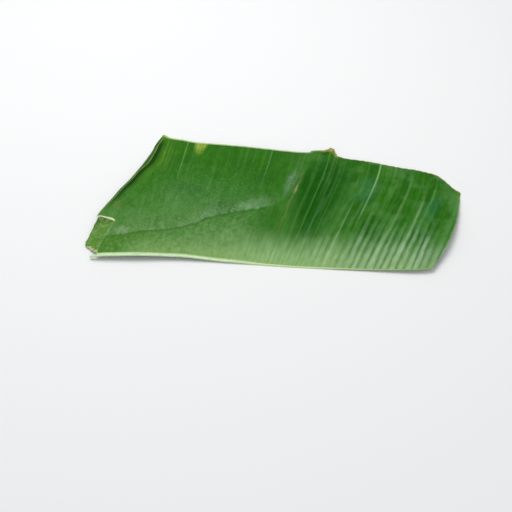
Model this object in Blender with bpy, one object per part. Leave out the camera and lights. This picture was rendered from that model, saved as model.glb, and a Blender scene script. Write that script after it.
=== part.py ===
"""A cut sheet of fresh banana leaf: one half of the blade with the edge of its midrib.

The sheet lies on its back face. The midrib edge runs along +X at the front, the natural
margin of the leaf is at the back (+Y). The veins leave the midrib edge, lean toward +X and
make the blade a row of shallow pleats. Metres, +Z up.
"""
import math

import bmesh
import bpy
from mathutils import Vector, geometry

MM = 0.001

# Blade: skin thickness, and the vein pleats with their depth beside the midrib and at the margin.
SKIN = 0.8 * MM
PLEAT_PITCH = 9.0 * MM
PLEAT_NEAR = 1.7 * MM
PLEAT_FAR = 0.9 * MM
PLEAT_RISE = 7.0 * MM
PLEATS_FROM = -216 * MM
PLEATS_TO = 222 * MM
LEFT_CALM = 0.42

# Midrib edge: a thicker band that is widest at the cut left end and runs out to the right.
RIB_WIDE = 3.6 * MM
RIB_DEEP = 2.6 * MM
RIB_THINS = 0.62
RIB_STEP = 1.5 * MM
RIB_FROM = -190 * MM
RIB_TO = 214 * MM
RIB_POINTS = 45

# Fold along one vein: where it starts, its height, and how far each side slopes down from it.
FOLD_ROOT = 10 * MM
FOLD_HIGH = 5.0 * MM
FOLD_LEFT = 100 * MM
FOLD_RIGHT = 55 * MM

# Soft crease across the left half, from its left end to its right end.
CREASE_DEEP = 1.8 * MM
CREASE_HALF = 10 * MM
CREASE_FROM = (-171, 32)
CREASE_TO = (15, 84)

# Left cut, which curls down, and the loose flap that hangs below the slit.
CURL_DEEP = 3.0 * MM
CURL_WIDE = 9.0 * MM
FLAP_DROP = 3.0 * MM
FLAP_BEND = 13 * MM

# Veins: how far they lean toward +X, and the rows of points along each one.
LEAN_MIDDLE = 0.27
LEAN_SWING = 0.19
LEAN_REACH = 90.0 * MM
MARGIN_BEND = 0.16
ROWS = 15
NEAREST = 0.1 * MM

# Plan of the sheet in millimetres, counter-clockwise from the tip of the midrib edge.
MIDRIB = (
    (-197, -3.5), (-150, -1.7), (-90, 0.2), (-30, -2.8), (50, -6.6), (150, -8.8), (185, -9), (208, -6.3),
)
RIGHT_CUT = ((221, 14), (233, 37), (244, 66), (251, 92), (257, 119), (259.5, 129))
MARGIN = (
    (258, 132), (252, 137), (244, 147), (235, 158), (225, 163.5), (203, 168.5), (175, 174.5),
    (148, 181), (130, 184.5), (112, 187), (101, 191.5), (98.5, 204), (93, 206.5), (88.5, 203),
    (80, 200.5), (68, 198.5), (55, 194.5), (-16, 202), (-54, 206), (-92, 210.5), (-120, 220), (-136, 231.5),
)
LEFT_CUT = (
    (-144, 209.5), (-149, 187.5), (-156, 163.5), (-166, 134), (-175.5, 114), (-186, 91), (-194, 76),
    (-199, 64),
)
SLIT_END = (-174.6, 51)
FLAP = ((-196.5, 59), (-205.5, 28), (-207.5, 22), (-207, 16), (-202.5, 12), (-195, 7), (-190.5, 2.5))
MIDRIB_TIP = ((-190, 0.2), (-196.5, -0.6), (-198.5, -2.2))

# Heights in millimetres along X: back face of the midrib edge, crown of the blade, margin.
MIDRIB_LIFT = (
    (-200, 3), (-180, 5.5), (-140, 6.5), (-90, 4.6), (-40, 1.6), (5, 0), (65, 0), (110, 1.2), (210, 5.5),
)
CROWN_LIFT = ((-210, 6), (-150, 9), (-60, 12), (60, 12), (160, 11), (230, 8), (262, 3))
MARGIN_LIFT = ((-140, -4.5), (-105, 3), (-30, 5), (60, 4.5), (120, 3.5), (200, 3), (230, 2), (262, -2.5))
WIDTH_BACK = ((-215, 236), (-140, 234), (-92, 212), (57, 200), (130, 192), (203, 177), (240, 160), (262, 138))


def course(points, x):
    """Smooth height or offset in metres of a run of millimetre points at x metres."""
    at = x / MM
    if at <= points[0][0]:
        return points[0][1] * MM
    for (x0, y0), (x1, y1) in zip(points, points[1:]):
        if at <= x1:
            part = (at - x0) / (x1 - x0)
            eased = part * part * (3 - 2 * part)
            return (y0 + (y1 - y0) * (0.5 * part + 0.5 * eased)) * MM
    return points[-1][1] * MM


def ramp(value):
    """Soft step from 0 to 1 while value runs from 0 to 1."""
    part = min(1.0, max(0.0, value))
    return part * part * (3 - 2 * part)


def rib_wide(x):
    """Width of the midrib edge at x: it narrows toward the right end."""
    return RIB_WIDE * (1 - RIB_THINS * ramp((x + 0.20) / 0.34))


def rib_deep(x):
    """Depth of the midrib edge at x, never thinner than the blade."""
    return SKIN + (RIB_DEEP - SKIN) * (1 - ramp((x + 0.06) / 0.24))


def across(x, y):
    """Place between the thick midrib band (0) and the margin (1)."""
    past = y - course(MIDRIB, x) - rib_wide(x) - NEAREST
    return min(1.0, max(0.0, past / course(WIDTH_BACK, x)))


def lean(root):
    """Sideways run of a vein for each metre across, from where it leaves the midrib."""
    return LEAN_MIDDLE + LEAN_SWING * math.tanh(root / LEAN_REACH)


def vein_root(x, y):
    """Place on the midrib edge where the vein through x, y starts."""
    reach = (y - course(MIDRIB, x)) * (1 - MARGIN_BEND * across(x, y) ** 3)
    root = x
    for _ in range(12):
        root = x - lean(root) * reach
    return root


def crest(count):
    """Root of pleat line number count: even ones are crests, odd ones valleys."""
    wander = 0.13 * math.sin(2.1 * count) + 0.12 * math.sin(0.73 * count + 1)
    return PLEATS_FROM + 0.5 * PLEAT_PITCH * (count + wander)


CRESTS = [crest(count) for count in range(round(2 * (PLEATS_TO - PLEATS_FROM) / PLEAT_PITCH))]


def pleat(root):
    """Pleat wave at a vein root, 1 on a crest and -1 in a valley."""
    for count in range(len(CRESTS) - 1):
        if root <= CRESTS[count + 1]:
            part = (root - CRESTS[count]) / (CRESTS[count + 1] - CRESTS[count])
            wave = math.cos(math.pi * max(0.0, part))
            return wave if count % 2 == 0 else -wave
    return 0.0


def thickness(x, y):
    """Depth of the sheet from its upper to its back face."""
    past = y - course(MIDRIB, x) - rib_wide(x) - NEAREST
    return rib_deep(x) + (SKIN - rib_deep(x)) * ramp(past / RIB_STEP)


def crease_line(x):
    """Y of the soft crease that crosses the left half of the blade."""
    part = (x / MM - CREASE_FROM[0]) / (CREASE_TO[0] - CREASE_FROM[0])
    return (CREASE_FROM[1] + (CREASE_TO[1] - CREASE_FROM[1]) * min(1.0, max(0.0, part)) ** 1.5) * MM


def left_edge(y):
    """X of the left cut at y."""
    for (x0, y0), (x1, y1) in zip((MARGIN[-1],) + LEFT_CUT, LEFT_CUT):
        if y / MM >= y1:
            return (x1 + (x0 - x1) * (y / MM - y1) / (y0 - y1)) * MM
    return LEFT_CUT[-1][0] * MM


def slit_middle(x):
    """Y of the slit's middle line at x."""
    mouth_y = 0.5 * (LEFT_CUT[-1][1] + FLAP[0][1])
    mouth_x = LEFT_CUT[-1][0]
    return (SLIT_END[1] + (mouth_y - SLIT_END[1]) * (x / MM - SLIT_END[0]) / (mouth_x - SLIT_END[0])) * MM


def flap_drop(x, y):
    """How far the flap hangs below the blade: none on its hinge, most at its outer edge."""
    hinge_x = SLIT_END[0] + (FLAP[-1][0] - SLIT_END[0]) * (SLIT_END[1] - y / MM) / (SLIT_END[1] - FLAP[-1][1])
    return FLAP_DROP * ramp((hinge_x * MM - x) / FLAP_BEND)


def fold(root, part):
    """Rise of the ridge that follows one vein, with its steeper side to the right."""
    turned = root - FOLD_ROOT
    reach = FOLD_RIGHT if turned > 0 else FOLD_LEFT
    peak = max(0.0, 1 - abs(turned) / reach) ** 1.3
    return FOLD_HIGH * peak * ramp(part / 0.55) * ramp((1.15 - part) / 0.5)


def crease(x, y):
    """Depth of the soft crease, which fades out at both its ends."""
    away = (y - crease_line(x)) / CREASE_HALF
    run = ramp((x / MM - CREASE_FROM[0] + 7) / 30) * ramp((CREASE_TO[0] + 15 - x / MM) / 50)
    return CREASE_DEEP * math.exp(-away * away) * run


def pleats(x, y, root, part):
    """Rise or fall of the pleats: calm in the left half, deepest beside the midrib edge."""
    stir = LEFT_CALM + (1 - LEFT_CALM) * ramp((root + 0.03) / 0.10)
    swell = 0.85 + 0.15 * math.sin(57 * root + 1.3)
    depth = PLEAT_FAR + (PLEAT_NEAR - PLEAT_FAR) * (1 - part) ** 1.5
    rise = ramp((y - course(MIDRIB, x) - rib_wide(x)) / PLEAT_RISE)
    return 0.5 * depth * stir * swell * pleat(root) * rise


def hang(x, y):
    """How far the left end hangs: the curl of the cut above the slit, the flap below it."""
    if y > slit_middle(x) or x > SLIT_END[0] * MM:
        if y < SLIT_END[1] * MM:
            return 0.0
        inset = max(0.0, x - left_edge(y))
        return CURL_DEEP * max(0.0, 1 - inset / CURL_WIDE) ** 2
    return flap_drop(x, y)


def back_face(x, y):
    """Height of the sheet's back face above the ground."""
    part = across(x, y)
    root = vein_root(x, y)
    low = course(MIDRIB_LIFT, x) * (1 - part) + course(MARGIN_LIFT, x) * part
    crown = course(CROWN_LIFT, x) * (1 - (2 * part - 1) ** 2)
    rib_step = rib_deep(x) - thickness(x, y)
    relief = fold(root, part) - crease(x, y) + pleats(x, y, root, part)
    return max(0.0, low + crown + relief + rib_step - hang(x, y))


def inside(point, ring):
    """True where point lies within the closed ring of plan points."""
    found = False
    for first, second in zip(ring, ring[1:] + ring[:1]):
        if (first.y > point.y) != (second.y > point.y):
            cut = first.x + (point.y - first.y) * (second.x - first.x) / (second.y - first.y)
            if point.x < cut:
                found = not found
    return found


def clearance(point, ring):
    """Distance from point to the nearest edge of the ring."""
    nearest = 1.0
    for first, second in zip(ring, ring[1:] + ring[:1]):
        spot, part = geometry.intersect_point_line(point, first, second)
        spot = first.lerp(second, min(1.0, max(0.0, part)))
        nearest = min(nearest, (point - spot.xy).length)
    return nearest


def vein_point(root, part):
    """Plan point on the vein from root at part of the way across."""
    x = root
    for _ in range(8):
        y = course(MIDRIB, x) + part * course(WIDTH_BACK, x)
        x = root + lean(root) * (y - course(MIDRIB, x)) * (1 - MARGIN_BEND * min(1.0, max(0.0, part)) ** 3)
    return Vector((x, y))


def sheet_plan(ring):
    """Points and lines that the flat sheet is divided along: its outline, veins and rib lines."""
    points = list(ring)
    lines = [(spot, (spot + 1) % len(ring)) for spot in range(len(ring))]

    def add_line(run):
        start = len(points)
        points.extend(run)
        lines.extend((start + step, start + step + 1) for step in range(len(run) - 1))

    for root in CRESTS:
        run = [vein_point(root, step / ROWS) for step in range(1, ROWS + 2)]
        run = [spot for spot in run if inside(spot, ring) and clearance(spot, ring) > 3 * MM]
        if run:
            add_line([vein_point(root, -0.06)] + run + [vein_point(root, 1.12)])
    for setback in (0.0, RIB_STEP + 2 * NEAREST):
        run = []
        for step in range(RIB_POINTS + 1):
            x = RIB_FROM + (RIB_TO - RIB_FROM) * step / RIB_POINTS
            run.append(Vector((x, course(MIDRIB, x) + rib_wide(x) + setback)))
        add_line(run)
    return points, lines


def build_sheet():
    """The whole sheet as one closed body."""
    plan = MIDRIB + RIGHT_CUT + MARGIN + LEFT_CUT + (SLIT_END,) + FLAP + MIDRIB_TIP
    ring = [Vector((x * MM, y * MM)) for x, y in plan]
    points, lines = sheet_plan(ring)
    spots, _, faces, _, _, _ = geometry.delaunay_2d_cdt(points, lines, [], 0, NEAREST)
    sheet = bmesh.new()
    corners = [sheet.verts.new((spot.x, spot.y, 0)) for spot in spots]
    for face in faces:
        middle = sum((spots[spot] for spot in face), Vector((0, 0))) / 3
        if inside(middle, ring):
            sheet.faces.new([corners[spot] for spot in face])
    loose = [corner for corner in sheet.verts if not corner.link_faces]
    bmesh.ops.delete(sheet, geom=loose, context="VERTS")
    bmesh.ops.recalc_face_normals(sheet, faces=sheet.faces)
    if sum(face.normal.z for face in sheet.faces) < 0:
        bmesh.ops.reverse_faces(sheet, faces=sheet.faces)
    # The back face is the flat plan pushed down out of the upper face, triangle for triangle.
    upper = list(sheet.verts)
    lower = bmesh.ops.extrude_face_region(sheet, geom=list(sheet.faces))["geom"]
    lower = [part for part in lower if isinstance(part, bmesh.types.BMVert)]
    for corner in lower:
        corner.co.z = back_face(corner.co.x, corner.co.y) + thickness(corner.co.x, corner.co.y)
    for corner in upper:
        corner.co.z = back_face(corner.co.x, corner.co.y)
    bmesh.ops.recalc_face_normals(sheet, faces=sheet.faces)
    return sheet


def main():
    for item in list(bpy.data.objects):
        bpy.data.objects.remove(item, do_unlink=True)
    sheet = build_sheet()
    low = Vector([min(corner.co[axis] for corner in sheet.verts) for axis in range(3)])
    high = Vector([max(corner.co[axis] for corner in sheet.verts) for axis in range(3)])
    shift = Vector((-(low.x + high.x) / 2, -(low.y + high.y) / 2, -low.z))
    bmesh.ops.translate(sheet, verts=sheet.verts, vec=shift)
    mesh = bpy.data.meshes.new("banana_leaf")
    sheet.to_mesh(mesh)
    sheet.free()
    leaf = bpy.data.objects.new("banana_leaf", mesh)
    bpy.context.scene.collection.objects.link(leaf)
    green = bpy.data.materials.new("fresh_leaf")
    green.use_nodes = True
    shader = green.node_tree.nodes["Principled BSDF"]
    shader.inputs["Base Color"].default_value = (0.035, 0.15, 0.018, 1)
    shader.inputs["Roughness"].default_value = 0.42
    shader.inputs["Metallic"].default_value = 0.0
    mesh.materials.append(green)


main()
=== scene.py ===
"""A cut sheet of fresh banana leaf lying on its back face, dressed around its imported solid."""

import math

import bmesh
import bpy
import numpy as np
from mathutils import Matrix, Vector, geometry


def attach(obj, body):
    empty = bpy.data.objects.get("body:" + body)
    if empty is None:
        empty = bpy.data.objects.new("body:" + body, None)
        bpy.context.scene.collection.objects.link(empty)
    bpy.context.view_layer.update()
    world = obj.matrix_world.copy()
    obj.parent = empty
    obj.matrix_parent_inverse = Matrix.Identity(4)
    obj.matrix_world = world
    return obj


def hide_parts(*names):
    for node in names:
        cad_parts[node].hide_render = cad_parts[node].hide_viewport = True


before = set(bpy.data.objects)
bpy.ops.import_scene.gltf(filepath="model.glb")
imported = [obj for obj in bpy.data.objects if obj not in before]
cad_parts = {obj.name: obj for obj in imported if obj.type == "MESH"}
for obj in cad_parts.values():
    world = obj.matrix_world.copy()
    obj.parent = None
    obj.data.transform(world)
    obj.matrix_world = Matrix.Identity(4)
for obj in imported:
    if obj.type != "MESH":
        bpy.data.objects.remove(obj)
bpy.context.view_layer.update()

# The cut of the sheet
# Half of a banana leaf, cut from the midrib with a knife. Its front edge is what is left of the
# midrib, its back edge is the leaf's own margin, and both ends are cut or torn across.
MM = 0.001

# Corners of every edge in millimetres, with X along the midrib and Y into the blade.
MIDRIB = (
    (-197, -3.5), (-150, -1.7), (-90, 0.2), (-30, -2.8), (50, -6.6), (150, -8.8), (185, -9), (208, -6.3),
)
RIGHT_CUT = ((208, -6.3), (221, 14), (233, 37), (244, 66), (251, 92), (257, 119), (259.5, 129))
MARGIN_RIGHT = (
    (259.5, 129), (258, 132), (252, 137), (244, 147), (235, 158), (225, 163.5), (203, 168.5),
    (175, 174.5), (148, 181), (130, 184.5), (112, 187), (101, 191.5),
)
DRIED_TAB = ((101, 191.5), (98.5, 204), (93, 206.5), (88.5, 203), (80, 200.5))
MARGIN_LEFT = (
    (80, 200.5), (68, 198.5), (55, 194.5), (-16, 202), (-54, 206), (-92, 210.5), (-120, 220),
    (-137.5, 231.5),
)
LEFT_CUT = (
    (-137.5, 231.5), (-145.8, 209.5), (-150.6, 187.5), (-157.2, 163.5), (-168.4, 134), (-178.7, 114),
    (-189.4, 91), (-197.3, 76), (-201.5, 64),
)
SLIT_END = (-174.6, 51)
SLIT_UPPER = ((-201.5, 64), SLIT_END)
SLIT_LOWER = (SLIT_END, (-198.2, 61.1))
FLAP_SIDE = ((-198.2, 61.1), (-205.5, 28), (-207.5, 22), (-207, 16))
FLAP_TORN = ((-207, 16), (-202.5, 12), (-195, 7), (-190.5, 2.5), (-190, 0.2))
MIDRIB_TIP = ((-190, 0.2), (-196.5, -0.6), (-198.5, -2.2), (-197, -3.5))
LOW_CORNER, HIGH_CORNER = (-207.5, -9), (259.5, 231.5)
EDGE_STEP = 2.4

# Width of the rolled-down strip along the left cut, by Y, which its painted shade covers.
LEFT_ROLL = (
    (64, 1.2), (83, 3), (101, 4.3), (120, 4.4), (141, 3.9), (163, 7.8), (187, 6.2), (210, 4), (231, 1.5),
)


def run_of(corners, rough, seed, smooth=True):
    """Points every few millimetres along one edge, with the small unevenness of a cut or a tear."""
    ends = np.array(corners, float)
    padded = np.vstack([2 * ends[0] - ends[1], ends, 2 * ends[-1] - ends[-2]])
    points = []
    for place in range(1, len(padded) - 2):
        before, start, stop, after = padded[place - 1:place + 3]
        count = max(1, round(float(np.linalg.norm(stop - start)) / EDGE_STEP))
        for step in range(count):
            t = step / count
            if smooth:
                bend = 2 * start + (stop - before) * t + (2 * before - 5 * start + 4 * stop - after) * t * t
                points.append(0.5 * (bend + (3 * start - before - 3 * stop + after) * t ** 3))
            else:
                points.append(start + (stop - start) * t)
    points = np.array(points)
    draw = np.random.default_rng(seed)
    shake = draw.normal(0, rough, points.shape)
    shake[0] = 0
    return np.clip(points + shake, LOW_CORNER, HIGH_CORNER)


# Every edge with its unevenness in millimetres and the seed of that unevenness.
EDGES = {
    "midrib": run_of(MIDRIB, 0.05, 1),
    "right_cut": run_of(RIGHT_CUT, 0.15, 2),
    "margin_right": run_of(MARGIN_RIGHT, 0.12, 3),
    "tab": run_of(DRIED_TAB, 0.5, 4, smooth=False),
    "margin_left": run_of(MARGIN_LEFT, 0.10, 5),
    "left_cut": run_of(LEFT_CUT, 0.15, 6),
    "slit_upper": run_of(SLIT_UPPER, 0.02, 7, smooth=False),
    "slit_lower": run_of(SLIT_LOWER, 0.02, 8, smooth=False),
    "flap_side": run_of(FLAP_SIDE, 0.2, 9),
    "flap_torn": run_of(FLAP_TORN, 0.75, 10, smooth=False),
    "midrib_tip": run_of(MIDRIB_TIP, 0.1, 11, smooth=False),
}
RING = np.vstack(list(EDGES.values()))
CENTRE = (RING.min(0) + RING.max(0)) / 2
MARGIN = np.vstack([EDGES["margin_right"], EDGES["tab"], EDGES["margin_left"]])

# Heights in millimetres along X: back face of the midrib edge, crown of the blade, margin.
MIDRIB_LIFT = (
    (-200, 3), (-180, 5.5), (-140, 6.5), (-90, 4.6), (-40, 1.6), (5, 0), (65, 0), (110, 1.2), (210, 5.5),
)
CROWN_LIFT = ((-210, 6), (-150, 9), (-60, 12), (60, 12), (160, 11), (230, 8), (262, 3))
MARGIN_LIFT = ((-140, -4.5), (-105, 3), (-30, 5), (60, 4.5), (120, 3.5), (200, 3), (230, 2), (262, -2.5))

# Width of the blade from the midrib band to the margin along X, and the middle of the soft crease.
BLADE_WIDTH = (
    (-215, 236), (-140, 234), (-92, 212), (57, 200), (130, 192), (203, 177), (240, 160), (262, 138),
)
CREASE = (
    (-176, 27.5), (-153, 34), (-133, 38), (-119, 38.5), (-94, 43.3), (-76, 49.7), (-62, 59), (-47, 63.7),
    (-22, 70.4), (-3, 73.5), (16, 78), (34, 86),
)


def course(points, x):
    """Smooth height or offset of a run of points at every x, all in millimetres."""
    xs, ys = np.array(points, float).T
    at = np.clip(x, xs[0], xs[-1])
    place = np.clip(np.searchsorted(xs, at) - 1, 0, len(xs) - 2)
    part = (at - xs[place]) / (xs[place + 1] - xs[place])
    eased = part * part * (3 - 2 * part)
    return ys[place] + (ys[place + 1] - ys[place]) * 0.5 * (part + eased)


def ramp(value):
    """Soft step from 0 to 1 while value runs from 0 to 1."""
    part = np.clip(value, 0, 1)
    return part * part * (3 - 2 * part)


def between(value, ends):
    """Soft step from 0 to 1 while value runs from the first end to the second."""
    return ramp((value - ends[0]) / (ends[1] - ends[0]))


# The blade's thickness, and the thick band that the knife left of the midrib: its width, how much
# deeper than the blade it is at the left end, and how it narrows and thins along X.
SKIN = 0.5
RIB_WIDE = 3.2
RIB_NARROWING = 0.62
RIB_NARROWS = (-200, 140)
RIB_EXTRA = 1.3
RIB_THINS = (-60, 180)
RIB_LAP = 0.1
RIB_ROUNDING = 1.5


def rib_wide(x):
    """Width of the thick midrib band: it narrows toward the right end."""
    return RIB_WIDE * (1 - RIB_NARROWING * between(x, RIB_NARROWS))


def past_rib(x, y):
    """Distance from the thick midrib band into the blade."""
    return y - course(MIDRIB, x) - rib_wide(x) - RIB_LAP


def across(x, y):
    """Place between the midrib band (0) and the margin (1)."""
    return np.clip(past_rib(x, y) / course(BLADE_WIDTH, x), 0, 1)


# The veins lean to the right, more so in the right half, and straighten toward the margin.
LEAN = 0.27
LEAN_GAIN = 0.19
LEAN_SPREAD = 90
STRAIGHTENING = 0.16


def lean(root):
    """Sideways run of a vein for each unit across, from where it leaves the midrib."""
    return LEAN + LEAN_GAIN * np.tanh(root / LEAN_SPREAD)


def vein_root(x, y):
    """Place on the midrib edge where the vein through x, y starts."""
    reach = (y - course(MIDRIB, x)) * (1 - STRAIGHTENING * across(x, y) ** 3)
    root = x
    for _ in range(14):
        root = x - lean(root) * reach
    return root


# Crests and hollows of the pleats take turns along the midrib, every half pitch and a bit unevenly.
PLEAT_PITCH = 9.0
FIRST_CREST = -216
turns = np.arange(98)
unevenly = turns + 0.13 * np.sin(2.1 * turns) + 0.12 * np.sin(0.73 * turns + 1)
CRESTS = FIRST_CREST + 0.5 * PLEAT_PITCH * unevenly


def rib_extra(x, y):
    """How much deeper the sheet is at x, y than its plain blade."""
    deep = RIB_EXTRA * (1 - between(x, RIB_THINS))
    return deep * (1 - ramp(past_rib(x, y) / RIB_ROUNDING)), deep


# Heights and widths of the forms in the blade, all in millimetres: the fold along one vein, the
# soft crease, the curl of the left cut and the loose flap, which hangs from its hinge line.
FOLD_ROOT = 10
FOLD_HIGH = 5.0
FOLD_LEFT = 100
FOLD_RIGHT = 55
FOLD_SHARPNESS = 1.3
FOLD_RISES = (0, 0.55)
FOLD_ENDS = (1.15, 0.65)
CREASE_DEEP = 1.5
CREASE_HALF = 10
CREASE_STARTS = (-178, -148)
CREASE_STOPS = (30, -20)
CURL_DEEP = 3.4
CURL_WIDE = 7.5
FLAP_HINGE = (-190.5, 2.5)
FLAP_BEND = 13
FLAP_DROPS = (1.0, 3.0)
FLAP_DROPS_AT = (58, 28)


def flap_share(x, y):
    """0 on the blade and 1 on the loose flap, which hangs from a line below the end of the slit."""
    mouth = 0.5 * (SLIT_UPPER[0][1] + SLIT_LOWER[1][1])
    slit_y = SLIT_END[1] + (mouth - SLIT_END[1]) * (x - SLIT_END[0]) / (SLIT_UPPER[0][0] - SLIT_END[0])
    down = (SLIT_END[1] - y) / (SLIT_END[1] - FLAP_HINGE[1])
    hinge_x = SLIT_END[0] + (FLAP_HINGE[0] - SLIT_END[0]) * down
    return np.where((y > slit_y) | (x > SLIT_END[0]), 0, ramp((hinge_x - x) / FLAP_BEND))


def calm_height(x, y):
    """Back face of the sheet before its pleats: crown, fold, crease, curl and flap."""
    part, root = across(x, y), vein_root(x, y)
    low = course(MIDRIB_LIFT, x) * (1 - part) + course(MARGIN_LIFT, x) * part
    crown = course(CROWN_LIFT, x) * (1 - (2 * part - 1) ** 2)
    turned = root - FOLD_ROOT
    peak = np.maximum(0, 1 - np.abs(turned) / np.where(turned > 0, FOLD_RIGHT, FOLD_LEFT))
    fold = FOLD_HIGH * peak ** FOLD_SHARPNESS * between(part, FOLD_RISES) * between(part, FOLD_ENDS)
    crease = CREASE_DEEP * np.exp(-((y - course(CREASE, x)) / CREASE_HALF) ** 2)
    crease *= between(x, CREASE_STARTS) * between(x, CREASE_STOPS)
    extra, deep = rib_extra(x, y)
    cut_xs, cut_ys = np.array(LEFT_CUT[::-1]).T
    from_cut = np.maximum(0, x - np.interp(y, cut_ys, cut_xs))
    curl = CURL_DEEP * np.maximum(0, 1 - from_cut / CURL_WIDE) ** 2
    curl *= (y > SLIT_END[1]) & (flap_share(x, y) == 0)
    drop = FLAP_DROPS[0] + (FLAP_DROPS[1] - FLAP_DROPS[0]) * between(y, FLAP_DROPS_AT)
    return low + crown + fold - crease + deep - extra - curl - drop * flap_share(x, y)


def in_ring(x, y):
    """True for every point that lies within the outline."""
    found = np.zeros(len(x), bool)
    for (x0, y0), (x1, y1) in zip(RING, np.roll(RING, -1, 0)):
        if y0 != y1:
            crosses = ((y0 > y) != (y1 > y)) & (x < x0 + (y - y0) * (x1 - x0) / (y1 - y0))
            found ^= crosses
    return found


def distance_to(x, y, points, closed=False):
    """Distance of every point to a run of edge points."""
    nearest = np.full(len(x), 1e3)
    stops = np.roll(points, -1, 0) if closed else points[1:]
    for (x0, y0), (x1, y1) in zip(points, stops):
        run = (x1 - x0, y1 - y0)
        part = np.clip(((x - x0) * run[0] + (y - y0) * run[1]) / (run[0] ** 2 + run[1] ** 2), 0, 1)
        nearest = np.minimum(nearest, np.hypot(x - x0 - part * run[0], y - y0 - part * run[1]))
    return nearest


# Width of the pale lip above the slit, by X.
LIP_WIDTH = ((-201, 0.8), (-188, 1.8), (-179, 2.8), (-174.6, 1.4))
LIP_LAP = 0.15
FAR_OFF = 9


def slit_lip(x, y):
    """Distance into the blade above the slit, in widths of the pale lip that lines it."""
    slope = (SLIT_UPPER[0][1] - SLIT_END[1]) / (SLIT_UPPER[0][0] - SLIT_END[0])
    above = y - SLIT_END[1] - slope * (x - SLIT_END[0])
    wide = np.interp(x, *np.array(LIP_WIDTH).T)
    return np.where(above > -LIP_LAP, distance_to(x, y, EDGES["slit_upper"]) / wide, FAR_OFF)


# The flat sheet is divided along its veins, eight lines to a pleat, so that the pleats stay round.
LINES_PER_PLEAT = 8
ROW_STEP = 3.0
USUAL_WIDTH = 215
EDGE_GAP = 0.9
roots = np.interp(np.arange(0, turns[-1], 2 / LINES_PER_PLEAT), turns, CRESTS)
rows = np.arange(0.02, 1.03, ROW_STEP / USUAL_WIDTH)
root_grid, part_grid = [grid.ravel() for grid in np.meshgrid(roots, rows, indexing="ij")]
x_grid = root_grid.copy()
for _ in range(10):
    y_grid = course(MIDRIB, x_grid) + part_grid * course(BLADE_WIDTH, x_grid)
    bend = 1 - STRAIGHTENING * np.clip(part_grid, 0, 1) ** 3
    x_grid = root_grid + lean(root_grid) * (y_grid - course(MIDRIB, x_grid)) * bend
kept = in_ring(x_grid, y_grid) & (distance_to(x_grid, y_grid, RING, closed=True) > EDGE_GAP)
spots = [Vector(pair) for pair in RING.tolist()]
lines = [(spot, (spot + 1) % len(RING)) for spot in range(len(RING))]
spots += [Vector(pair) for pair in np.column_stack([x_grid, y_grid])[kept].tolist()]

# Three lines along the midrib band keep its shoulder sharp.
SHOULDER_SETBACKS = (0.0, 0.8, 1.7)
SHOULDER_ENDS = (-188, 213)
SHOULDER_STEP = 2.2
for setback in SHOULDER_SETBACKS:
    xs = np.arange(*SHOULDER_ENDS, SHOULDER_STEP)
    ys = course(MIDRIB, xs) + rib_wide(xs) + setback
    start = len(spots)
    spots += [Vector(pair) for pair in np.column_stack([xs, ys]).tolist()]
    lines += [(spot, spot + 1) for spot in range(start, len(spots) - 1)]

# The lines are joined into triangles, and those outside the outline are dropped.
flat, _, tiles, _, _, _ = geometry.delaunay_2d_cdt(spots, lines, [], 0, 0.05)
flat = np.array([spot[:] for spot in flat])
tiles = np.array([tile[:] for tile in tiles])
middles = flat[tiles].mean(1)
tiles = tiles[in_ring(middles[:, 0], middles[:, 1])]
used, tiles = np.unique(tiles, return_inverse=True)
tiles = tiles.reshape(-1, 3)
flat = flat[used]
turn = np.cross(flat[tiles[:, 1]] - flat[tiles[:, 0]], flat[tiles[:, 2]] - flat[tiles[:, 0]])
tiles[turn < 0] = tiles[turn < 0][:, ::-1]
x, y = flat.T

sheet_mesh = bpy.data.meshes.new("leaf_sheet_flat")
placed = np.column_stack([x - CENTRE[0], y - CENTRE[1], calm_height(x, y)]) * MM
sheet_mesh.from_pydata(placed.tolist(), [], tiles.tolist())

# What the pleats and the finishes read at every point: its vein, its share of the way across, its
# pleat, how far the pleats have risen, and its distances in millimetres to the edges and the crease.
# The pleats rise beside the midrib over 16 mm in the left part and 7 mm in the right.
RISE_WIDTHS = (16, 7)
RISE_CHANGES = (110, 170)
rise_wide = RISE_WIDTHS[0] + (RISE_WIDTHS[1] - RISE_WIDTHS[0]) * between(x, RISE_CHANGES)
facts = {
    "root": vein_root(x, y),
    "part": across(x, y),
    "phase": np.interp(vein_root(x, y), CRESTS, turns),
    "rise": ramp((past_rib(x, y) + RIB_LAP) / rise_wide),
    "deeper": rib_extra(x, y)[0],
    "to_margin": distance_to(x, y, MARGIN),
    "to_right": distance_to(x, y, EDGES["right_cut"]),
    "past_roll": distance_to(x, y, EDGES["left_cut"]) - np.interp(y, *np.array(LEFT_ROLL).T),
    "to_left": distance_to(x, y, EDGES["left_cut"]),
    "to_torn": distance_to(x, y, EDGES["flap_torn"]),
    "to_tab": distance_to(x, y, EDGES["tab"]),
    "lip": slit_lip(x, y),
    "to_crease": y - course(CREASE, x),
    "flap": flap_share(x, y),
}
for name, values in facts.items():
    sheet_mesh.attributes.new(name, "FLOAT", "POINT").data.foreach_set("value", values.astype(np.float32))

# The pleats
# The blade is a row of shallow pleats, one to each strong vein. They are deepest beside the
# midrib and in the right half, and no two are alike. The sheet is also a little crumpled.


def add(tree, kind, links=None, **settings):
    """Adds one node with its settings and what its inputs take, and gives its outputs."""
    node = tree.nodes.new(kind)
    for name, value in settings.items():
        setattr(node, name, value)
    for key, source in (links or {}).items():
        if isinstance(source, bpy.types.NodeSocket):
            tree.links.new(source, node.inputs[key])
        else:
            node.inputs[key].default_value = source
    return node.outputs


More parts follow.
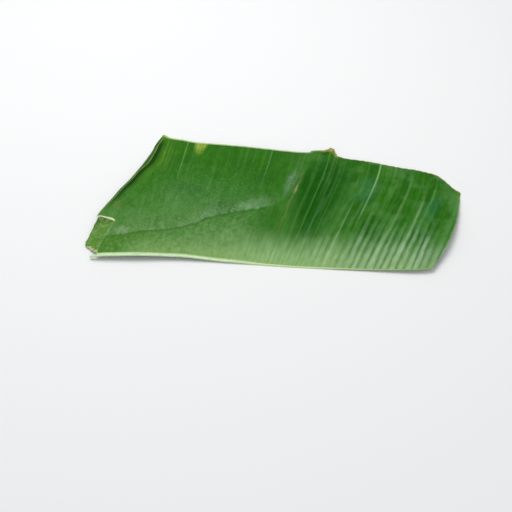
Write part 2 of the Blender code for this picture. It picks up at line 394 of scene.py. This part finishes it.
pleats = bpy.data.node_groups.new("vein_pleats", "GeometryNodeTree")
pleats.interface.new_socket("Sheet", in_out="INPUT", socket_type="NodeSocketGeometry")
PLEAT_SIZES = {
    "Depth beside midrib": 1.7 * MM,
    "Depth at margin": 0.5 * MM,
    "Calm of left half": 0.16,
    "Unevenness": 0.55,
    "Vein ridge height": 0.14 * MM,
    "Crumple height": 0.5 * MM,
}

# Where the pleats reach their full depth, the half width of a vein's ridge in pleats, and how many
# crumples there are to a millimetre along the midrib and to the way across.
FULL_DEPTH_ROOT = 110.0
RIDGE_HALF = 0.22
CRUMPLES_ALONG = 0.045
CRUMPLES_ACROSS = 4.5
for name in PLEAT_SIZES:
    pleats.interface.new_socket(name, in_out="INPUT", socket_type="NodeSocketFloat")
pleats.interface.new_socket("Seed", in_out="INPUT", socket_type="NodeSocketFloat")
pleats.interface.new_socket("Finish", in_out="INPUT", socket_type="NodeSocketMaterial")
pleats.interface.new_socket("Sheet", in_out="OUTPUT", socket_type="NodeSocketGeometry")
given = add(pleats, "NodeGroupInput")
root, part, phase, rise = (
    add(pleats, "GeometryNodeInputNamedAttribute", {"Name": name}, data_type="FLOAT")["Attribute"]
    for name in ("root", "part", "phase", "rise")
)
turned = add(pleats, "ShaderNodeMath", {0: phase, 1: math.pi}, operation="MULTIPLY")[0]
wave = add(pleats, "ShaderNodeMath", {0: turned}, operation="COSINE")[0]
depth = add(
    pleats, "ShaderNodeMapRange",
    {"Value": part, "To Min": given["Depth beside midrib"], "To Max": given["Depth at margin"]},
)[0]
stir = add(
    pleats, "ShaderNodeMapRange",
    {"Value": root, "From Max": FULL_DEPTH_ROOT, "To Min": given["Calm of left half"]},
    interpolation_type="SMOOTHSTEP",
)[0]
pair = add(pleats, "ShaderNodeMath", {0: phase, 1: 0.5, 2: 0.5}, operation="MULTIPLY_ADD")[0]
number = add(pleats, "ShaderNodeMath", {0: pair}, operation="FLOOR")[0]
luck_place = add(pleats, "ShaderNodeCombineXYZ", {"X": number, "Y": given["Seed"]})[0]
luck = add(pleats, "ShaderNodeTexWhiteNoise", {"Vector": luck_place}, noise_dimensions="3D")["Value"]
swell = add(pleats, "ShaderNodeMath", {0: luck, 1: given["Unevenness"]}, operation="MULTIPLY")[0]
swell = add(pleats, "ShaderNodeMath", {0: 1.15, 1: swell}, operation="SUBTRACT")[0]
lift = add(pleats, "ShaderNodeMath", {0: wave, 1: 0.5}, operation="MULTIPLY")[0]
for share in (depth, stir, swell, rise):
    lift = add(pleats, "ShaderNodeMath", {0: lift, 1: share}, operation="MULTIPLY")[0]
near_crest = add(pleats, "ShaderNodeMath", {0: phase, 1: 1.0}, operation="PINGPONG")[0]
ridge = add(
    pleats, "ShaderNodeMapRange",
    {"Value": near_crest, "From Min": RIDGE_HALF, "From Max": 0.0, "To Max": given["Vein ridge height"]},
)[0]
for share in (rise, luck):
    ridge = add(pleats, "ShaderNodeMath", {0: ridge, 1: share}, operation="MULTIPLY")[0]
lift = add(pleats, "ShaderNodeMath", {0: lift, 1: ridge}, operation="ADD")[0]
along = add(pleats, "ShaderNodeMath", {0: root, 1: CRUMPLES_ALONG}, operation="MULTIPLY")[0]
over = add(pleats, "ShaderNodeMath", {0: part, 1: CRUMPLES_ACROSS}, operation="MULTIPLY")[0]
crumple_place = add(pleats, "ShaderNodeCombineXYZ", {"X": along, "Y": over, "Z": given["Seed"]})[0]
crumple = add(pleats, "ShaderNodeTexNoise", {"Vector": crumple_place, "Scale": 1.0, "Detail": 3.0})[0]
crumple = add(pleats, "ShaderNodeMath", {0: crumple, 1: 0.5}, operation="SUBTRACT")[0]
crumple = add(pleats, "ShaderNodeMath", {0: crumple, 1: given["Crumple height"]}, operation="MULTIPLY")[0]
crumple = add(pleats, "ShaderNodeMath", {0: crumple, 1: rise}, operation="MULTIPLY")[0]
lift = add(pleats, "ShaderNodeMath", {0: lift, 1: crumple}, operation="ADD")[0]
push = add(pleats, "ShaderNodeCombineXYZ", {"Z": lift})[0]
moved = add(pleats, "GeometryNodeSetPosition", {"Geometry": given["Sheet"], "Offset": push})[0]
moved = add(pleats, "GeometryNodeSetShadeSmooth", {"Geometry": moved})[0]
moved = add(pleats, "GeometryNodeRealizeInstances", {"Geometry": moved})[0]
moved = add(pleats, "GeometryNodeSetMaterial", {"Geometry": moved, "Material": given["Finish"]})[0]
add(pleats, "NodeGroupOutput", {"Sheet": moved})


# Upper skin
# Fresh banana leaf skin: a waxy cuticle over green tissue, ribbed by fine parallel veins. Its colour
# holds streaks along the veins and pale raised veins, and also painted light: painted shade in the
# hollows and on slopes turned from the light, and painted sheen and highlights where it faces the
# light. Real fine veins stand under 1 mm apart, and are drawn 2.4 to 9 mm wide so that they show.


def paint(code):
    """Linear colour of an sRGB hex value."""
    parts = [int(code[place:place + 2], 16) / 255 for place in (1, 3, 5)]
    parts = [part / 12.92 if part <= 0.04045 else ((part + 0.055) / 1.055) ** 2.4 for part in parts]
    return (*parts, 1.0)


def new_finish(name):
    """A material whose tree holds one Principled shader."""
    finish = bpy.data.materials.new(name)
    finish.use_nodes = True
    tree = finish.node_tree
    tree.nodes.clear()
    shader = tree.nodes.new("ShaderNodeBsdfPrincipled")
    add(tree, "ShaderNodeOutputMaterial", {"Surface": shader.outputs[0]})
    return finish, tree, shader


def streaks(tree, held, wide, long, seed, detail=2.0):
    """Noise drawn out along the veins: wide millimetres across them, long shares of the blade."""
    u = add(tree, "ShaderNodeMath", {0: held["root"], 1: wide}, operation="DIVIDE")[0]
    v = add(tree, "ShaderNodeMath", {0: held["part"], 1: long}, operation="DIVIDE")[0]
    place = add(tree, "ShaderNodeCombineXYZ", {"X": u, "Y": v, "Z": seed})[0]
    return add(tree, "ShaderNodeTexNoise", {"Vector": place, "Scale": 1.0, "Detail": detail})[0]


def beside(tree, held, root, stray=0.0):
    """Distance from the vein that leaves the midrib at root, in millimetres along the midrib."""
    off = add(tree, "ShaderNodeMath", {0: held["root"], 1: root}, operation="SUBTRACT")[0]
    off = add(tree, "ShaderNodeMath", {0: off, 1: stray}, operation="ADD")[0]
    return add(tree, "ShaderNodeMath", {0: off}, operation="ABSOLUTE")[0]


def patch(tree, held, centre, half, ragged=0.7):
    """Ramp of a patch at a vein and a share across, with half sizes in the same measures."""
    place = add(tree, "ShaderNodeCombineXYZ", {"X": held["root"], "Y": held["part"]})[0]
    place = add(tree, "ShaderNodeVectorMath", {0: place, 1: (*centre, 0)}, operation="SUBTRACT")[0]
    place = add(tree, "ShaderNodeVectorMath", {0: place, 1: (*half, 1)}, operation="DIVIDE")[0]
    reach = add(tree, "ShaderNodeVectorMath", {0: place}, operation="LENGTH")["Value"]
    cloudy = {0: held["cloud"], 1: ragged, 2: reach}
    stray = add(tree, "ShaderNodeMath", cloudy, operation="MULTIPLY_ADD")[0]
    return stray, 1.2 + ragged / 2, 0.4 + ragged / 2


def layered(tree, colour, layers):
    """Lays colours over the last by a strength and soft ramps, each given as value, start, stop."""
    for strength, ramps, code in layers:
        mask = strength
        for value, start, stop in ramps:
            soft = add(
                tree, "ShaderNodeMapRange", {"Value": value, "From Min": start, "From Max": stop},
                interpolation_type="SMOOTHSTEP",
            )[0]
            mask = add(tree, "ShaderNodeMath", {0: mask, 1: soft}, operation="MULTIPLY")[0]
        colour = add(tree, "ShaderNodeMix", {0: mask, 6: colour, 7: paint(code)}, data_type="RGBA")[2]
    return colour


def raised(tree, shader, height, strength, deep, smooth, dull):
    """Gives a shader its fine relief and a gloss that shifts a little with the same noise."""
    bump = add(tree, "ShaderNodeBump", {"Strength": strength, "Distance": deep * MM, "Height": height})[0]
    gloss = add(tree, "ShaderNodeMapRange", {"Value": height, "To Min": smooth, "To Max": dull})[0]
    tree.links.new(bump, shader.inputs["Normal"])
    tree.links.new(gloss, shader.inputs["Roughness"])


upper_skin, tree, shader = new_finish("waxy_leaf_skin")
held = {name: add(tree, "ShaderNodeAttribute", attribute_name=name)["Fac"] for name in facts}
root, part, flap, past_roll = (held[name] for name in ("root", "part", "flap", "past_roll"))
spot_at = add(tree, "ShaderNodeTexCoord")["Object"]

# Uneven spots of four sizes in millimetres, with their detail and roughness.
grain, dust, cloud, blots = (
    add(
        tree, "ShaderNodeTexNoise",
        {"Vector": spot_at, "Scale": 1 / (size * MM), "Detail": detail, "Roughness": rough},
    )[0]
    for size, detail, rough in ((2.6, 2.0, 0.5), (5, 4.0, 0.7), (22, 3.0, 0.5), (26, 2.0, 0.5))
)
held["cloud"] = cloud

# Streaks along the veins, then the pleats: crest is 0 on a crest, flank is 0 on the side that faces
# the light, and luck is one number for each pleat. Waver makes them stray a little.
fine = streaks(tree, held, 2.4, 0.55, 1.0)
broad = streaks(tree, held, 9.0, 0.40, 5.0, 3.0)
lines = streaks(tree, held, 3.4, 1.6, 31.0, 0.0)
shades = streaks(tree, held, 6.0, 0.30, 47.0, 1.0)
tone = add(tree, "ShaderNodeMix", {0: 0.32, 2: broad, 3: fine}, data_type="FLOAT")[0]
mottle = streaks(tree, held, 4.5, 0.06, 73.0, 3.0)
waver = streaks(tree, held, 14.0, 0.10, 61.0, 1.0)
waver = add(tree, "ShaderNodeMath", {0: waver, 1: 0.7, 2: -0.35}, operation="MULTIPLY_ADD")[0]
phase = add(tree, "ShaderNodeMath", {0: held["phase"], 1: waver}, operation="ADD")[0]
crest = add(tree, "ShaderNodeMath", {0: phase, 1: 1.0}, operation="PINGPONG")[0]
flank = add(tree, "ShaderNodeMath", {0: phase, 1: 0.45}, operation="ADD")[0]
flank = add(tree, "ShaderNodeMath", {0: flank, 1: 1.0}, operation="PINGPONG")[0]
pair = add(tree, "ShaderNodeMath", {0: held["phase"], 1: 0.5, 2: 0.5}, operation="MULTIPLY_ADD")[0]
number = add(tree, "ShaderNodeMath", {0: pair}, operation="FLOOR")[0]
luck = add(tree, "ShaderNodeTexWhiteNoise", {"W": number}, noise_dimensions="1D")["Value"]

# The halves of the blade on both sides of the fold, the brown crack beside it, the crease with a
# ragged edge, and the way across with a ragged edge.
right_half = (root, -25.0, 45.0)
left_half = (root, 12.0, -48.0)
crack_stray = add(tree, "ShaderNodeMath", {0: cloud, 1: 6.0, 2: -3.0}, operation="MULTIPLY_ADD")[0]
crack = beside(tree, held, 12.8, crack_stray)
crease_stray = add(tree, "ShaderNodeMath", {0: dust, 1: 8.0, 2: -4.0}, operation="MULTIPLY_ADD")[0]
crease = add(tree, "ShaderNodeMath", {0: held["to_crease"], 1: crease_stray}, operation="ADD")[0]
near = add(tree, "ShaderNodeMath", {0: broad, 1: 0.3, 2: -0.15}, operation="MULTIPLY_ADD")[0]
near = add(tree, "ShaderNodeMath", {0: near, 1: part}, operation="ADD")[0]

colour = layered(tree, paint("#266804"), [
    # Green tissue, with its streaks and its lighter and darker areas, some of them painted light: painted
    # sheen in the left half, painted shade right of the fold and painted sheen patches in the right half.
    (0.70, [(tone, 0.36, 0.66)], "#377812"),
    (0.55, [(tone, 0.50, 0.36), right_half], "#1c5c06"),
    (0.62, [right_half, (blots, 0.40, 0.58)], "#4a8338"),
    (0.60, [left_half, (part, 0.76, 0.45), (cloud, 0.10, 0.60)], "#3d7a2b"),
    # Painted sheen: a broad lighter area low in the left half.
    (0.85, [left_half, (part, 0.48, 0.14), (cloud, 0.00, 0.60)], "#5d8e43"),
    (0.50, [left_half, (blots, 0.54, 0.38), (part, 0.15, 0.40)], "#24640c"),
    (0.25, [left_half, (shades, 0.50, 0.68), (part, 0.70, 0.30)], "#6c9a58"),
    (0.10, [left_half, (grain, 0.46, 0.66), (part, 0.95, 0.5)], "#8fb884"),
    (0.10, [(grain, 0.52, 0.34)], "#1c4c0a"),
    # Painted shade: the dark slope right of the fold, which faces away from the light.
    (0.95, [patch(tree, held, (40, 0.56), (30, 0.46))], "#0f5400"),
    (0.55, [patch(tree, held, (84, 0.46), (10, 0.14))], "#1c5c06"),
    (0.34, [patch(tree, held, (130, 0.58), (12, 0.14))], "#1c5c06"),
    (0.50, [patch(tree, held, (112, 0.34), (9, 0.10))], "#1c5c06"),
    # Painted sheen: a blue-green patch in the right half.
    (0.38, [patch(tree, held, (88, 0.66), (14, 0.16))], "#3f7a50"),
    (0.32, [patch(tree, held, (-10, 0.68), (18, 0.14))], "#1f5c0a"),
    # Painted sheen: a blue-green patch near the right end.
    (0.45, [patch(tree, held, (176, 0.56), (12, 0.20))], "#2d7444"),
    # Painted sheen: a faint lighter haze in the middle of the left half.
    (0.05, [patch(tree, held, (-100, 0.41), (48, 0.17))], "#8cab86"),
    (0.40, [right_half, (shades, 0.46, 0.30)], "#1f5f10"),
    (0.16, [right_half, (shades, 0.56, 0.72)], "#6f9f68"),
    # Paler skin along the midrib with painted sheen over it, painted highlights on the flanks of the pleats
    # that face the light, and painted shade on the flanks turned away.
    # Paler skin near the midrib, with painted sheen over it.
    (0.75, [(part, 0.26, 0.01), (root, -110.0, -20.0)], "#86ad6e"),
    (0.50, [(part, 0.14, 0.00), (root, -176.0, -126.0)], "#96b96c"),
    (0.38, [(near, 0.27, 0.05), (root, 40.0, 100.0)], "#7fa870"),
    (0.30, [(near, 0.26, 0.06), (root, -45.0, 20.0), (root, 115.0, 70.0)], "#86b272"),
    (0.38, [(near, 0.20, 0.02), (root, -45.0, 20.0), (root, 120.0, 70.0), (fine, 0.35, 0.62)], "#a9ce90"),
    # Painted highlight on the lit flanks of the pleats.
    (0.22, [(near, 0.26, 0.08), (root, 50.0, 90.0), (flank, 0.72, 0.04)], "#a9c68c"),
    # Painted highlight: whitish sheen on the lit flanks beside the midrib in the right half.
    (0.48, [
        (near, 0.44, 0.08), (root, 85.0, 135.0), (root, 205.0, 175.0), (flank, 1.00, 0.15),
        (luck, -0.3, 0.6), (cloud, 0.22, 0.56),
    ], "#b8d6ba"),
    (0.45, [patch(tree, held, (204, 0.08), (20, 0.10))], "#86a483"),
    (0.30, [(held["to_right"], 15.0, 6.0)], "#5f9a4c"),
    # Painted shade on the flanks of the pleats turned away from the light.
    (0.22, [
        (near, 0.40, 0.16), (root, 60.0, 130.0), (flank, 0.40, 1.00), (mottle, 0.70, 0.36),
    ], "#2c6426"),
    # Painted shade on the shaded flanks close to the midrib.
    (0.30, [(part, 0.16, 0.05), (root, 105.0, 135.0), (flank, 0.60, 1.00)], "#35702e"),
    # Veins: fine ones, those on the crests, and the few that stand out.
    (0.07, [(lines, 0.55, 0.75), right_half, (shades, 0.35, 0.55)], "#86b46c"),
    (0.05, [(lines, 0.58, 0.72), (part, 0.35, 0.70)], "#8fb87c"),
    (0.14, [(crest, 0.45, 0.02), (luck, 0.35, 0.95), (root, 50.0, 80.0), (broad, 0.42, 0.60)], "#7fb060"),
    (0.54, [(beside(tree, held, 93.6), 1.6, 0.2), (part, 0.00, 0.90)], "#a2d094"),
    (0.26, [(beside(tree, held, 78.5), 2.0, 0.2), (part, 0.62, 0.35)], "#94c284"),
    (0.26, [(beside(tree, held, 136.2), 2.6, 0.2), (part, 0.95, 0.60)], "#8fbc74"),
    (0.30, [(beside(tree, held, 160.6), 2.6, 0.2), (part, 0.80, 0.40)], "#a3c890"),
    (0.22, [(beside(tree, held, 24.6), 1.3, 0.1)], "#5f9a40"),
    (0.28, [(beside(tree, held, 34.8), 1.3, 0.1)], "#6aa648"),
    (0.20, [(beside(tree, held, 43.6), 1.3, 0.1)], "#5f9a40"),
    (0.18, [(beside(tree, held, 53.1), 1.3, 0.1)], "#5f9a40"),
    (0.24, [(beside(tree, held, -23.3), 1.4, 0.1), (part, 0.36, 0.80), (dust, 0.30, 0.50)], "#8fb880"),
    (0.32, [(beside(tree, held, -119.5), 1.2, 0.1), (part, 0.45, 0.80)], "#9fc470"),
    # Yellowed patches at the left end, and painted shade in the hollow beside the curled cut.
    (0.75, [patch(tree, held, (-103, 0.96), (9, 0.14)), (fine, 0.30, 0.60)], "#a6c04a"),
    (0.20, [patch(tree, held, (-141, 0.76), (12, 0.16)), (fine, 0.38, 0.66)], "#8fae4a"),
    (0.30, [(root, -105.0, -165.0), (part, 0.20, 0.45)], "#3a7a08"),
    (0.75, [(root, -142.0, -174.0), (part, 0.14, 0.05)], "#4b8220"),
    (0.30, [(past_roll, 24.0, 14.0), (part, 0.40, 0.60), (fine, 0.35, 0.60)], "#5f9620"),
    # Painted shade in the hollow where the surface dips before the curled cut.
    (0.60, [
        (past_roll, 16.0, 5.0), (past_roll, 0.4, 1.4), (part, 0.26, 0.50), (part, 0.96, 0.86),
    ], "#1f5204"),
    (0.85, [
        (past_roll, 8.5, 4.5), (past_roll, 0.4, 1.4), (part, 0.28, 0.52), (part, 0.96, 0.86),
    ], "#0e3400"),
    # Pale scuff under a painted sheen on the side of the fold that faces the light, and brown crack along
    # the fold.
    # Painted sheen over a pale scuff, left of the fold.
    (0.24, [patch(tree, held, (5, 0.62), (6, 0.16)), (shades, 0.34, 0.60)], "#8fa893"),
    (0.18, [patch(tree, held, (5, 0.64), (5, 0.10)), (dust, 0.44, 0.66)], "#b4c4bc"),
    (0.45, [(crack, 4.0, 0.5), (part, 0.05, 0.35), (part, 0.88, 0.74)], "#4f7a34"),
    (0.60, [(crack, 1.4, 0.2), (part, 0.34, 0.54), (part, 0.80, 0.68), (dust, 0.36, 0.56)], "#7c8050"),
    (0.45, [(crack, 1.1, 0.2), (part, 0.05, 0.20), (part, 0.60, 0.45)], "#66803f"),
    (0.65, [patch(tree, held, (13.5, 0.56), (1.2, 0.05), 0.1)], "#9da26c"),
    # Crease: painted shade below it with lighter and darker blotches, a thin line of painted shade along
    # it, and blotchy painted highlights above it.
    # Painted shade below the crease.
    (0.66, [
        (crease, 1.0, -2.0), (crease, -28.0, -4.0), (held["to_left"], 4.0, 12.0),
        (root, -105.0, -160.0),
    ], "#43780e"),
    (0.24, [(crease, 1.0, -2.0), (crease, -14.0, -3.0), left_half], "#37741a"),
    (0.26, [(crease, 0.0, -3.0), (dust, 0.46, 0.64), left_half, (held["rise"], 0.1, 0.4)], "#8ab274"),
    (0.22, [(crease, 0.0, -3.0), (dust, 0.50, 0.34), left_half], "#2f6a12"),
    # A thin line of painted shade along the crease.
    (0.42, [
        (crease, 2.0, 0.0), (crease, -4.0, -1.0), (held["to_left"], 4.0, 16.0), left_half,
        (cloud, 0.20, 0.50),
    ], "#26570f"),
    # Painted highlights above the crease.
    (0.20, [(crease, -0.5, 2.0), (crease, 18.0, 3.0), (grain, 0.30, 0.66), left_half], "#93b588"),
    (0.26, [
        (crease, -0.5, 2.5), (crease, 30.0, 6.0), (cloud, 0.34, 0.60), (root, -95.0, -60.0),
        (root, 10.0, -25.0),
    ], "#93b588"),
    (0.15, [
        (crease, -0.5, 2.5), (crease, 26.0, 6.0), (dust, 0.40, 0.66), (root, -85.0, -50.0),
        (root, 10.0, -25.0),
    ], "#a3c29a"),
    # Loose flap, which is yellower and scaly, with a band of painted shadow under the slit's lip.
    (0.85, [(flap, 0.0, 0.30)], "#558a28"),
    # Painted shadow on the top of the flap under the slit's lip.
    (0.70, [(flap, 0.0, 0.30), (part, 0.185, 0.235)], "#2f6408"),
    (0.50, [(flap, 0.0, 0.30), (dust, 0.42, 0.64)], "#86a068"),
    (0.40, [(flap, 0.1, 0.6), (cloud, 0.50, 0.62), (dust, 0.40, 0.55)], "#a5a877"),
    (0.45, [(flap, 0.001, 0.03), (flap, 0.25, 0.06), (dust, 0.34, 0.50)], "#93b07c"),
    # Edges: painted shade on the roll of the left cut with a thin painted highlight where it bends, the
    # dried margin, the slit's lip, the tab and the tear.
    # Painted shade on the steep rolled-down strip of the left cut.
    (0.85, [(past_roll, 0.2, -0.8), (part, 0.28, 0.42)], "#355a20"),
    # Painted highlight: a thin light line where the left cut bends down.
    (0.55, [(past_roll, -0.8, 0.1), (past_roll, 1.5, 0.5), (dust, 0.28, 0.48)], "#86ae50"),
    (0.85, [(held["to_margin"], 3.4, 2.2), (root, 30.0, -5.0), (part, 0.80, 0.90)], "#c2d59c"),
    (0.70, [(held["to_margin"], 2.0, 0.8), (root, -10.0, 60.0)], "#a39b55"),
    (0.50, [(held["to_right"], 1.8, 0.8)], "#93b583"),
    (0.40, [patch(tree, held, (-168, 0.150), (9, 0.035)), (dust, 0.34, 0.60)], "#a5c08f"),
    (0.40, [patch(tree, held, (-184, 0.34), (7, 0.05)), (dust, 0.38, 0.60)], "#7d7c4a"),
    (0.75, [(held["rise"], 0.047, 0.008), (root, 20.0, -40.0)], "#c9dcae"),
    (0.55, [(held["to_margin"], 7.0, 2.0), (root, -140.0, -165.0)], "#86b42c"),
    (0.95, [(held["lip"], 1.3, 0.8)], "#dcecb4"),
    (0.85, [(held["to_tab"], 5.5, 1.5), (dust, 0.30, 0.56)], "#a79c5c"),
    (0.95, [(held["to_torn"], 4.6, 1.4), (dust, 0.38, 0.52)], "#cbc795"),
])

# A last mottle of short streaks makes every colour a little lighter or darker.
mottled = {"Value": mottle, "From Min": 0.3, "From Max": 0.7, "To Min": 0.88, "To Max": 1.12}
mottled = add(tree, "ShaderNodeMapRange", mottled)[0]
mottled = {0: 1.0, 6: colour, 7: mottled}
colour = add(tree, "ShaderNodeMix", mottled, data_type="RGBA", blend_type="MULTIPLY")[2]
height = add(tree, "ShaderNodeMix", {0: 0.45, 2: fine, 3: lines}, data_type="FLOAT")[0]
height = add(tree, "ShaderNodeMix", {0: 0.35, 2: height, 3: grain}, data_type="FLOAT")[0]
raised(tree, shader, height, 0.4, 0.2, 0.36, 0.56)
tree.links.new(colour, shader.inputs["Base Color"])
shader.inputs["IOR"].default_value = 1.42
shader.inputs["Specular IOR Level"].default_value = 0.07

# Back skin
# The leaf's underside: paler and duller, powdered with white wax, with the veins standing proud.
back_skin, tree, shader = new_finish("powdery_leaf_back")
held = {
    name: add(tree, "ShaderNodeAttribute", attribute_name=name)["Fac"]
    for name in ("root", "part", "phase", "to_margin", "to_torn")
}
fine = streaks(tree, held, 1.5, 0.5, 21.0)
broad = streaks(tree, held, 12.0, 0.3, 25.0, 3.0)
tone = add(tree, "ShaderNodeMix", {0: 0.5, 2: broad, 3: fine}, data_type="FLOAT")[0]
crest = add(tree, "ShaderNodeMath", {0: held["phase"], 1: 1.0}, operation="PINGPONG")[0]
colour = layered(tree, paint("#4f7c3a"), [
    (1.00, [(tone, 0.35, 0.65)], "#769a62"),
    (0.60, [(crest, 0.16, 0.02)], "#a7bb8e"),
    (0.50, [(held["part"], 0.15, 0.0)], "#adc396"),
    (0.60, [(held["to_margin"], 1.6, 0.6)], "#8e8e56"),
    (0.60, [(held["to_torn"], 3.0, 1.0)], "#bdb982"),
])
height = add(tree, "ShaderNodeMix", {0: 0.6, 2: fine, 3: crest}, data_type="FLOAT")[0]
raised(tree, shader, height, 0.5, -0.4, 0.55, 0.72)
tree.links.new(colour, shader.inputs["Base Color"])
shader.inputs["IOR"].default_value = 1.4

# Midrib band and cut faces
# Wet, pale, fibrous flesh laid bare by the knife. It is almost white at the thick left end, turns
# yellow-green to the right and browns where it has dried at the tip.
flesh, tree, shader = new_finish("cut_midrib_flesh")
place = add(tree, "ShaderNodeTexCoord")["Object"]
FIBRE_LONG, FIBRE_WIDE = 11.11 * MM, 0.6667 * MM
fibre_scale = (1 / FIBRE_LONG, 1 / FIBRE_WIDE, 1 / FIBRE_WIDE)
drawn = add(tree, "ShaderNodeMapping", {"Vector": place, "Scale": fibre_scale})[0]
fibres = add(tree, "ShaderNodeTexNoise", {"Vector": drawn, "Scale": 1.0, "Detail": 3.0})[0]
clouds = add(tree, "ShaderNodeTexNoise", {"Vector": place, "Scale": 1 / (14 * MM), "Detail": 2.0})[0]
x_place = add(tree, "ShaderNodeSeparateXYZ", {0: place})["X"]
colour = layered(tree, paint("#b4da8e"), [
    (1.00, [(fibres, 0.3, 0.6)], "#dcf6c8"),
    (0.60, [(x_place, -0.10, 0.05)], "#c0d27c"),
    (0.90, [(x_place, 0.03, 0.17)], "#7fa85a"),
    (0.25, [(x_place, -0.214, -0.225)], "#a9b56a"),
    (0.25, [(clouds, 0.55, 0.75)], "#b4cc80"),
])
raised(tree, shader, fibres, 0.5, 0.2, 0.34, 0.46)
tree.links.new(colour, shader.inputs["Base Color"])
shader.inputs["IOR"].default_value = 1.38

# The sheet as one closed body
# The pleated sheet gets its real thickness: thin in the blade, thick along the midrib band. Its
# upper face has the waxy skin, its lower face the powdery one, and the band its bare flesh.
sheet = bpy.data.objects.new("leaf_sheet_flat", sheet_mesh)
bpy.context.scene.collection.objects.link(sheet)
shaping = sheet.modifiers.new("pleats", "NODES")
shaping.node_group = pleats
sizes = {**PLEAT_SIZES, "Seed": 4.0, "Finish": upper_skin}
for item in pleats.interface.items_tree:
    if item.in_out == "INPUT" and item.name in sizes:
        shaping[item.identifier] = sizes[item.name]
depsgraph = bpy.context.evaluated_depsgraph_get()
pleated = bpy.data.meshes.new_from_object(
    sheet.evaluated_get(depsgraph), preserve_all_data_layers=True, depsgraph=depsgraph
)
bpy.data.objects.remove(sheet)
body_mesh = bmesh.new()
body_mesh.from_mesh(pleated)
deeper = body_mesh.verts.layers.float["deeper"]
under = list(body_mesh.verts)
under_faces = list(body_mesh.faces)
under_set = set(under_faces)
made = bmesh.ops.extrude_face_region(body_mesh, geom=under_faces)["geom"]
over_verts = [item for item in made if isinstance(item, bmesh.types.BMVert)]
over_faces = {item for item in made if isinstance(item, bmesh.types.BMFace)}
for corner in under:
    corner.co.z = max(0.0, corner.co.z)
for corner in over_verts:
    corner.co.z = max(0.0, corner.co.z) + (SKIN + corner[deeper]) * MM
body_mesh.normal_update()
bmesh.ops.recalc_face_normals(body_mesh, faces=body_mesh.faces)
part_layer = body_mesh.verts.layers.float["part"]
walls = set(body_mesh.faces) - over_faces - under_set

# The flesh covers the band's top and the walls beside it, up to these shares of the way across.
BAND_SHARE = 0.0005
BAND_WALL_SHARE = 0.02
for face in body_mesh.faces:
    face.smooth = face not in walls
    in_band = all(corner[part_layer] < BAND_SHARE for corner in face.verts)
    near_band = all(corner[part_layer] < BAND_WALL_SHARE for corner in face.verts)
    if (near_band and face in walls) or (in_band and face in over_faces):
        face.material_index = 2
    else:
        face.material_index = 1 if face in under_set else 0
for wall in walls:
    for edge in wall.edges:
        edge.smooth = False
leaf_mesh = bpy.data.meshes.new("banana_leaf_sheet")
body_mesh.to_mesh(leaf_mesh)
body_mesh.free()
for finish in (upper_skin, back_skin, flesh):
    leaf_mesh.materials.append(finish)
leaf = bpy.data.objects.new("banana_leaf_sheet", leaf_mesh)
bpy.context.scene.collection.objects.link(leaf)
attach(leaf, "root")
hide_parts("banana_leaf")

# Ground, light and camera
# A plain white ground under soft light from a large panel overhead, a little behind and left.
ground_mesh = bpy.data.meshes.new("ground")
ground_mesh.from_pydata([(-4, -4, 0), (4, -4, 0), (4, 4, 0), (-4, 4, 0)], [], [(0, 1, 2, 3)])
ground = bpy.data.objects.new("ground", ground_mesh)
bpy.context.scene.collection.objects.link(ground)
matt, tree, shader = new_finish("matt_white_ground")
shader.inputs["Base Color"].default_value = paint("#fbfbfa")
shader.inputs["Roughness"].default_value = 0.9
ground_mesh.materials.append(matt)

sky = bpy.data.worlds.new("soft_daylight")
sky.use_nodes = True
sky.node_tree.nodes["Background"].inputs["Color"].default_value = (0.95, 0.97, 1.0, 1.0)
sky.node_tree.nodes["Background"].inputs["Strength"].default_value = 0.48
bpy.context.scene.world = sky
bpy.context.scene.view_settings.view_transform = "Standard"


def panel(name, place, aim, wide, watts):
    """A square light panel that faces a point."""
    light = bpy.data.lights.new(name, "AREA")
    light.size = wide
    light.energy = watts
    lamp = bpy.data.objects.new(name, light)
    lamp.location = place
    lamp.rotation_euler = (Vector(aim) - Vector(place)).to_track_quat("-Z", "Y").to_euler()
    bpy.context.scene.collection.objects.link(lamp)


panel("overhead_panel", (-0.35, 0.55, 1.5), (0, 0, 0), 1.1, 15)
panel("front_fill", (0.6, -1.4, 1.2), (0, 0, 0), 1.2, 3)

lens = bpy.data.cameras.new("view")
lens.sensor_width = 36
lens.lens = 56.25
lens.clip_start = 0.01
watcher = bpy.data.objects.new("view", lens)
AIM_Y = 10.1
TURN, TILT, DISTANCE = math.radians(2.4), math.radians(48), 0.96
aim = Vector((-CENTRE[0], AIM_Y - CENTRE[1], 0)) * MM
back_off = Vector((math.sin(TURN) * math.cos(TILT), -math.cos(TURN) * math.cos(TILT), math.sin(TILT)))
watcher.location = aim + back_off * DISTANCE
watcher.rotation_euler = (-back_off).to_track_quat("-Z", "Y").to_euler()
bpy.context.scene.collection.objects.link(watcher)
bpy.context.scene.camera = watcher
